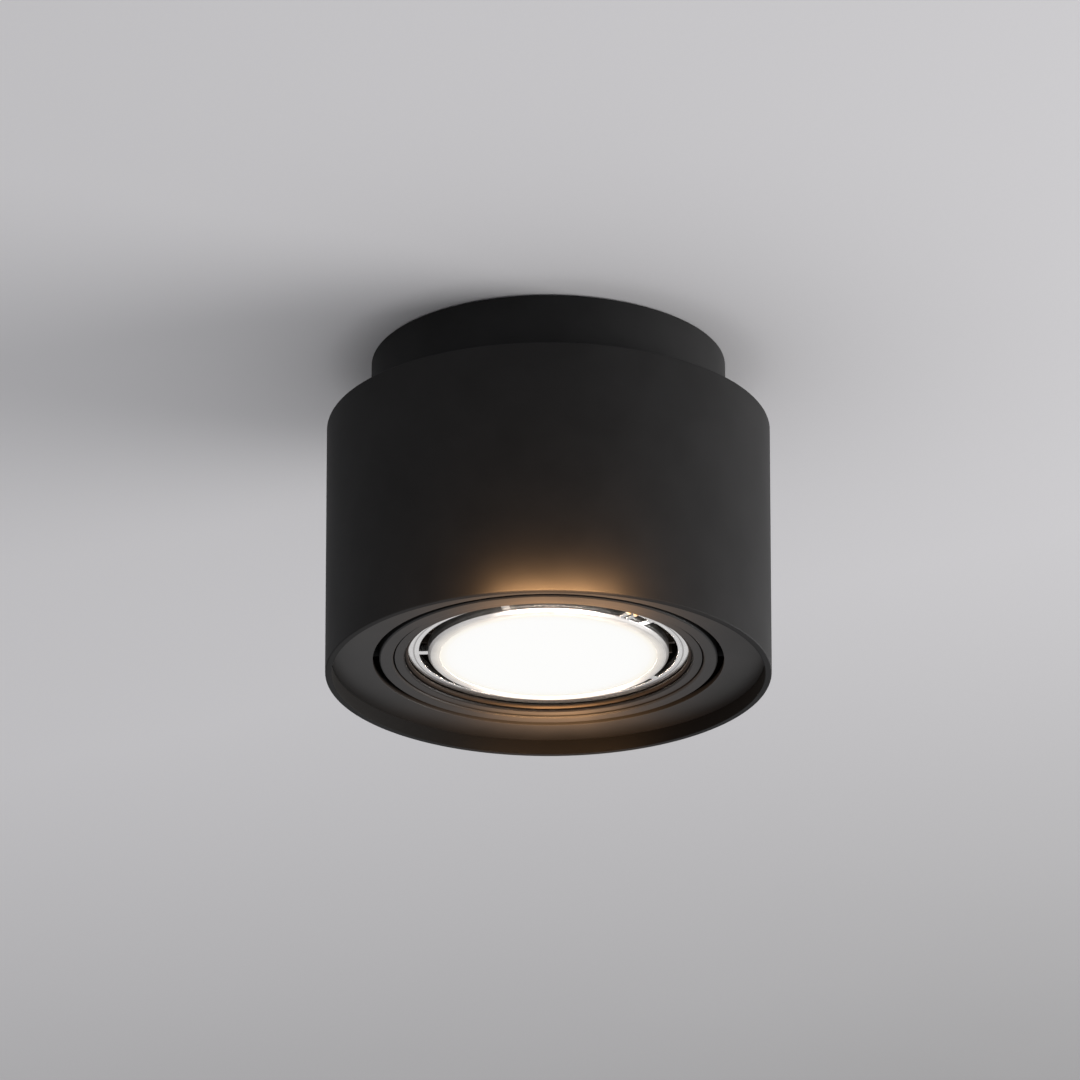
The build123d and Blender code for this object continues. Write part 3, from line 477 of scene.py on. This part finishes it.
def woven_sleeve():
    """A braid of glass yarn: two sets of strands that cross over and under, with painted shade between
    them.
    """
    material, tree, shader = principled("glass_braid", Sheen_Weight=0.25, Sheen_Roughness=0.4)
    around = add(tree, "ShaderNodeUVMap", uv_map="along").outputs["UV"]
    strands = {}
    for index, lean in enumerate((math.pi / 4, -math.pi / 4)):
        turned = add(tree, "ShaderNodeMapping", {"Vector": around, "Rotation": (0, 0, lean)})
        wave = add(tree, "ShaderNodeTexWave", {"Vector": turned.outputs["Vector"], "Scale": 2.2})
        strands[index] = wave.outputs["Fac"]
    braid = add(tree, "ShaderNodeMath", strands, operation="MAXIMUM").outputs["Value"]
    hairs = noise(tree, around, 0.2, 4.0, 0.7)
    # Painted shade: the yarn is darker in the valleys between the strands.
    yarn = between(tree, braid, (0.36, 0.35, 0.32), (0.72, 0.7, 0.64), 0.2, 0.9)
    normal = relief(tree, braid, 0.25 * MM, relief(tree, hairs, 0.04 * MM))
    wire_up(tree, shader, yarn, span(tree, hairs, 0.7, 0.9), normal)
    return material


def earth_insulation():
    """Green insulation with a yellow stripe, twisted a little."""
    material, tree, shader = principled("earth_stripe", Specular_IOR_Level=0.45)
    point = place(tree)
    sockets = {"Vector": point, "Scale": 95.0, "Distortion": 0.6}
    stripe = add(tree, "ShaderNodeTexWave", sockets, bands_direction="DIAGONAL").outputs["Fac"]
    colour = between(tree, stripe, (0.03, 0.25, 0.05), (0.75, 0.6, 0.05), 0.66, 0.7)
    grain = noise(tree, point, 0.5 * MM)
    wire_up(tree, shader, colour, span(tree, grain, 0.38, 0.5), relief(tree, grain, 0.01 * MM))
    return material


def build_finishes():
    """One material for each slot of the record."""
    zinc, dull_zinc = (0.66, 0.66, 0.62), (0.5, 0.5, 0.5)
    black_zinc, dull_black_zinc = (0.05, 0.05, 0.052), (0.02, 0.02, 0.021)
    nickel, dull_nickel = (0.72, 0.68, 0.6), (0.6, 0.56, 0.5)
    brass, dull_brass = (0.78, 0.56, 0.25), (0.58, 0.4, 0.17)
    return {
        "coated_aluminium": housing_paint(),
        "coated_steel": face_plate_paint(),
        "coated_ring": ring_paint(),
        "black_screw": plated_metal("black_zinc", black_zinc, dull_black_zinc, 0.4, 3 * MM, 0.008 * MM),
        "galvanised_steel": galvanised(),
        "zinc_steel": plated_metal("zinc_plate", zinc, dull_zinc, 0.32, 4 * MM, 0.006 * MM),
        "spring_wire": blued_wire_with_painted_light(),
        "lamp_chrome": rim_silver(),
        "lamp_bezel_metal": lit_bezel(),
        "heatsink_aluminium": cast_aluminium(),
        "frosted_diffuser": frosted_diffuser(),
        "white_board": printed_board("white_mask", (0.82, 0.82, 0.8), (0.7, 0.7, 0.68), 0.4),
        "led_phosphor": phosphor(),
        "lamp_plastic": moulded("lamp_base_plastic", (0.62, 0.62, 0.6), (0.7, 0.7, 0.68), 0.42),
        "green_board": printed_board("green_mask", (0.02, 0.16, 0.06), (0.03, 0.24, 0.09), 0.38),
        "nickel_pin": plated_metal("nickel_plate", nickel, dull_nickel, 0.24, 2 * MM, 0.003 * MM),
        "brass_insert": plated_metal("brass", brass, dull_brass, 0.3, 3 * MM, 0.005 * MM),
        "holder_ceramic": glazed_ceramic(),
        "terminal_nylon": moulded("natural_nylon", (0.7, 0.7, 0.66), (0.78, 0.78, 0.74), 0.38, 0.9 * MM),
        "black_rubber": moulded("rubber", (0.006,) * 3, (0.010,) * 3, 0.66, level=0.15),
        "black_nylon": moulded("nylon_black", (0.003,) * 3, (0.005,) * 3, 0.8, level=0.05),
        "woven_sleeve": woven_sleeve(),
        "silicone_core": moulded("silicone", (0.6, 0.58, 0.54), (0.7, 0.68, 0.64), 0.5),
        "earth_green": earth_insulation(),
    }


finishes = build_finishes()
for node in nodes.values():
    for material_slot in node.material_slots:
        material_slot.material = finishes[material_slot.material.name]


# ---- Rings of vertices, for the leads and the ceiling -----------------------------------------------
def circle(count):
    """The cosine and sine of each of that many even steps round a circle."""
    angles = [math.tau * step / count for step in range(count)]
    return [(math.cos(angle), math.sin(angle)) for angle in angles]


def band(shape, ring, following):
    """The faces between two rings of vertices."""
    faces = []
    for step in range(len(ring)):
        after = (step + 1) % len(ring)
        faces.append(shape.faces.new((ring[step], ring[after], following[after], following[step])))
    return faces


def finish_mesh(name, shape):
    """An object in the scene, made from a shape that is done."""
    mesh = bpy.data.meshes.new(name)
    shape.to_mesh(mesh)
    shape.free()
    piece = bpy.data.objects.new(name, mesh)
    bpy.context.scene.collection.objects.link(piece)
    return piece


# ---- Leads ------------------------------------------------------------------------------------------
SLEEVE_RADIUS = 2.0 * MM
TUBE_SIDES = 24
ROUTE_STEPS = 24
FIXED_LEAD = [(0, -13, -7.5), (0, 0, -7.5), (0, 0, -37)]
UPPER_LOOP = [
    (0, 0, -37),
    (0, 0, -45.5),
    (-14, -5, -46.5),
    (-30, -4, -48),
    (-38.5, 8, -50),
    (-39, 18, -52),
]
LOWER_LOOP = [
    (-39, 18, -52),
    (-39.5, 28, -54),
    (-28, 42, -57),
    (-10, 43, -58),
    (0, 30, -57.5),
    (0, 6, -57.5),
]


def in_metres(route):
    return [Vector(point) * MM for point in route]


def smooth_route(name, route):
    """Points read from the NURBS spline of a route."""
    curve = bpy.data.curves.new(name, "CURVE")
    curve.dimensions = "3D"
    curve.resolution_u = ROUTE_STEPS
    spline = curve.splines.new("NURBS")
    spline.points.add(len(route) - 1)
    for target, point in zip(spline.points, route):
        target.co = (*point, 1.0)
    spline.order_u = 3
    spline.use_endpoint_u = True
    holder = bpy.data.objects.new(name, curve)
    mesh = bpy.data.meshes.new_from_object(holder)
    points = [vertex.co.copy() for vertex in mesh.vertices]
    bpy.data.meshes.remove(mesh)
    bpy.data.objects.remove(holder)
    bpy.data.curves.remove(curve)
    return points


def rings_along(shape, points, radius):
    """A ring of vertices round each point, which turns with the route and doesn't twist."""
    direction = (points[1] - points[0]).normalized()
    side = direction.orthogonal().normalized()
    rings = []
    for index, point in enumerate(points):
        before, after = points[max(index - 1, 0)], points[min(index + 1, len(points) - 1)]
        ahead = (after - before).normalized()
        side = (direction.rotation_difference(ahead) @ side).normalized()
        direction = ahead
        across = direction.cross(side)
        offsets = [side * x + across * y for x, y in circle(TUBE_SIDES)]
        rings.append([shape.verts.new(point + radius * offset) for offset in offsets])
    return rings


def tube(name, route, radius):
    """A round tube along a route. Its map runs along the tube and round it, both in radii."""
    points = smooth_route(name, in_metres(route))
    shape = bmesh.new()
    uv = shape.loops.layers.uv.new("along")
    rings = rings_along(shape, points, radius)
    here = 0.0
    for index in range(len(points) - 1):
        there = here + (points[index + 1] - points[index]).length
        for step, face in enumerate(band(shape, rings[index], rings[index + 1])):
            face.smooth = True
            corners = ((here, step), (here, step + 1), (there, step + 1), (there, step))
            for loop, (travelled, turned) in zip(face.loops, corners):
                loop[uv].uv = (travelled / radius, math.tau * turned / TUBE_SIDES)
        here = there
    shape.faces.new(list(reversed(rings[0])))
    shape.faces.new(rings[-1])
    return finish_mesh(name, shape)


def sleeved_lead(name, route, node):
    piece = tube(name, route, SLEEVE_RADIUS)
    piece.data.materials.append(finishes["woven_sleeve"])
    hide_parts(node)
    return piece


fixed_lead = sleeved_lead("lead_through_nipple", FIXED_LEAD, "lamp_lead_fixed")
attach(fixed_lead, "fixture")
upper_lead = sleeved_lead("lead_loop_upper", UPPER_LOOP, "lamp_lead_upper")
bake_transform(upper_lead)
lower_lead = sleeved_lead("lead_loop_lower", LOWER_LOOP, "lamp_lead_lower")
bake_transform(lower_lead)


# ---- Ceiling ----------------------------------------------------------------------------------------
def ceiling_finish():
    """Matt plaster, seen from below only, with painted shade that makes it a little darker far behind
    the light.
    """
    material, tree, shader = principled("ceiling_finish", Roughness=0.9, Specular_IOR_Level=0.1)
    point = place(tree)
    sockets = {0: point, 1: CEILING_FADE_LEAN}
    depth = add(tree, "ShaderNodeVectorMath", sockets, operation="DOT_PRODUCT").outputs["Value"]
    # Painted shade: the ceiling darkens far behind the light, more so to the right.
    painted_shade = span(tree, depth, 0.0, 1.0, *CEILING_FADE)
    mottle = noise(tree, point, 0.25, 3.0)
    plaster = mixed(tree, painted_shade, CEILING_COLOUR, CEILING_FAR_COLOUR)
    uneven = mixed(tree, span(tree, mottle, 0.0, 0.12), plaster, CEILING_MOTTLE)
    wire_up(tree, shader, uneven, None, relief(tree, noise(tree, point, 3 * MM, 4.0), 0.03 * MM))
    clear = add(tree, "ShaderNodeBsdfTransparent").outputs["BSDF"]
    back = add(tree, "ShaderNodeNewGeometry").outputs["Backfacing"]
    sides = add(tree, "ShaderNodeMixShader", {0: back, 1: shader.outputs["BSDF"], 2: clear})
    tree.links.new(sides.outputs["Shader"], tree.nodes["Material Output"].inputs["Surface"])
    return material


def ceiling():
    """A wide sheet that faces down, open behind the mounting plate, which so shows from above."""
    shape = bmesh.new()
    hole_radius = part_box("mounting_plate")[1].x + CEILING_GAP
    rings = []
    for radius in (hole_radius, 3 * hole_radius, CEILING_REACH):
        places = [(radius * x, radius * y, CEILING_GAP) for x, y in circle(CEILING_SEGMENTS)]
        rings.append([shape.verts.new(corner) for corner in places])
    for inner, outer in zip(rings, rings[1:]):
        band(shape, inner, outer)
    sheet = finish_mesh("ceiling", shape)
    sheet.data.materials.append(ceiling_finish())


ceiling()


# ---- Lights -----------------------------------------------------------------------------------------
def room_light():
    """Even light from the room, brighter from the floor than from the walls."""
    world = bpy.data.worlds.new("room")
    world.use_nodes = True
    tree = world.node_tree
    height = span(tree, upward(tree, place_in_world(tree)), 0.0, 1.0, -1.0, 0.0)
    colour = between(tree, height, ROOM_FLOOR_COLOUR, ROOM_WALL_COLOUR, 0.2, 0.9)
    tree.links.new(colour, tree.nodes["Background"].inputs["Color"])
    bpy.context.scene.world = world


def area_lamp(name, shape, width, height, power, colour):
    data = bpy.data.lights.new(name, "AREA")
    data.shape = shape
    data.size = width
    data.size_y = height
    data.energy = power
    data.color = colour
    lamp = bpy.data.objects.new(name, data)
    lamp.visible_camera = False
    bpy.context.scene.collection.objects.link(lamp)
    return lamp


def aim(lamp, target=(0, 0, 0)):
    """Turns a lamp to face a point."""
    lamp.rotation_euler = (Vector(target) - lamp.location).to_track_quat("-Z", "Y").to_euler()


def only_on(lamp, receivers):
    """Keeps a lamp's light on these nodes."""
    lit = bpy.data.collections.new(lamp.name + "_lit")
    for receiver in receivers:
        lit.objects.link(nodes[receiver])
    lamp.light_linking.receiver_collection = lit


def key_light():
    """A wide soft light from the right, low under the ceiling."""
    lamp = area_lamp("key_light", "ELLIPSE", KEY_WIDTH, KEY_HEIGHT, KEY_POWER, KEY_COLOUR)
    flat = KEY_DISTANCE * math.cos(KEY_ELEVATION)
    lamp.location = (
        flat * math.cos(KEY_AZIMUTH),
        -flat * math.sin(KEY_AZIMUTH),
        -KEY_DISTANCE * math.sin(KEY_ELEVATION),
    )
    aim(lamp, KEY_AIM)


def side_light():
    """A weak light from behind on the right, for the brighter edge of the housing there."""
    lamp = area_lamp("side_light", "RECTANGLE", SIDE_SIZE, SIDE_SIZE, SIDE_POWER, KEY_COLOUR)
    lamp.location = SIDE_DISTANCE * Vector((math.cos(SIDE_TURN), math.sin(SIDE_TURN), -SIDE_DROP))
    aim(lamp)
    only_on(lamp, ("housing", "ceiling_rose"))


def rim_shine():
    """A pale wall behind the light, which shows in the lamp's silver rim alone."""
    lamp = area_lamp("rim_shine", "RECTANGLE", SHINE_SIZE, SHINE_SIZE, SHINE_POWER, KEY_COLOUR)
    lamp.location = SHINE_DISTANCE * Vector((0, math.cos(CAMERA_PITCH), -math.sin(CAMERA_PITCH)))
    aim(lamp)
    only_on(lamp, ("lamp_front_rim",))


def glow(name, spot, turn, width, power, receivers, colour=GLOW_COLOUR, glossy=False):
    """A small warm light for the lamp's own glow on what is beside it. Its spot is a y and a z."""
    lamp = area_lamp(name, "RECTANGLE", width, GLOW_DEPTH, power, colour)
    lamp.location = (GLOW_SHIFT, *spot)
    lamp.rotation_euler = (turn, 0, 0)
    lamp.visible_glossy = glossy
    only_on(lamp, receivers)


def lamp_glow():
    """The soft glow that the picture shows round the lit lamp."""
    housing_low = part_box("housing")[0]
    rings_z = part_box("outer_gimbal_ring")[0].z
    far = (FAR_GLOW_Y, rings_z - 18 * MM)
    near = (NEAR_GLOW_Y, rings_z - 20 * MM)
    lip = (LIP_GLOW_Y, housing_low.z - 8 * MM)
    wall = (housing_low.y - 8 * MM, housing_low.z - 3 * MM)
    wide_wall = (housing_low.y - 60 * MM, housing_low.z - 20 * MM)
    rings = ("face_plate", "outer_gimbal_ring", "inner_gimbal_ring")
    wire = ("retaining_spring",)
    housing = ("housing",)
    silver = ("lamp_front_rim", "lamp_bezel")
    glow("glow_far", far, UP, 38 * MM, 0.14, rings)
    glow("glow_near", near, UP, 46 * MM, 0.21, rings)
    glow("glow_far_gap", far, UP, 22 * MM, 0.22, wire)
    glow("glow_near_gap", near, UP, 36 * MM, 0.25, wire)
    glow("glow_lip", lip, SLANTED, 54 * MM, 0.04, housing)
    glow("glow_wall", wall, LEVEL, 54 * MM, 0.135, housing)
    glow("glow_wall_wide", wide_wall, LEVEL, 160 * MM, 0.06, housing)
    glow("glow_far_silver", far, UP, 54 * MM, 0.035, silver, SILVER_GLOW_COLOUR, glossy=True)
    glow("glow_near_silver", near, UP, 54 * MM, 0.05, silver, SILVER_GLOW_COLOUR, glossy=True)


room_light()
key_light()
lamp_glow()
side_light()
rim_shine()


# ---- Camera and view --------------------------------------------------------------------------------
def camera():
    """The camera that took the picture, from far in front and below."""
    data = bpy.data.cameras.new("camera")
    data.sensor_width = SENSOR_WIDTH
    data.lens = LENS
    target = Vector((0, 0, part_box("housing")[0].z))
    back = Vector((0, -math.cos(CAMERA_ELEVATION), -math.sin(CAMERA_ELEVATION)))
    viewer = bpy.data.objects.new("camera", data)
    viewer.location = target + CAMERA_DISTANCE * back
    viewer.rotation_euler = (math.pi / 2 + CAMERA_PITCH, 0, CAMERA_YAW)
    bpy.context.scene.collection.objects.link(viewer)
    bpy.context.scene.camera = viewer


camera()
bpy.context.scene.view_settings.view_transform = "Standard"
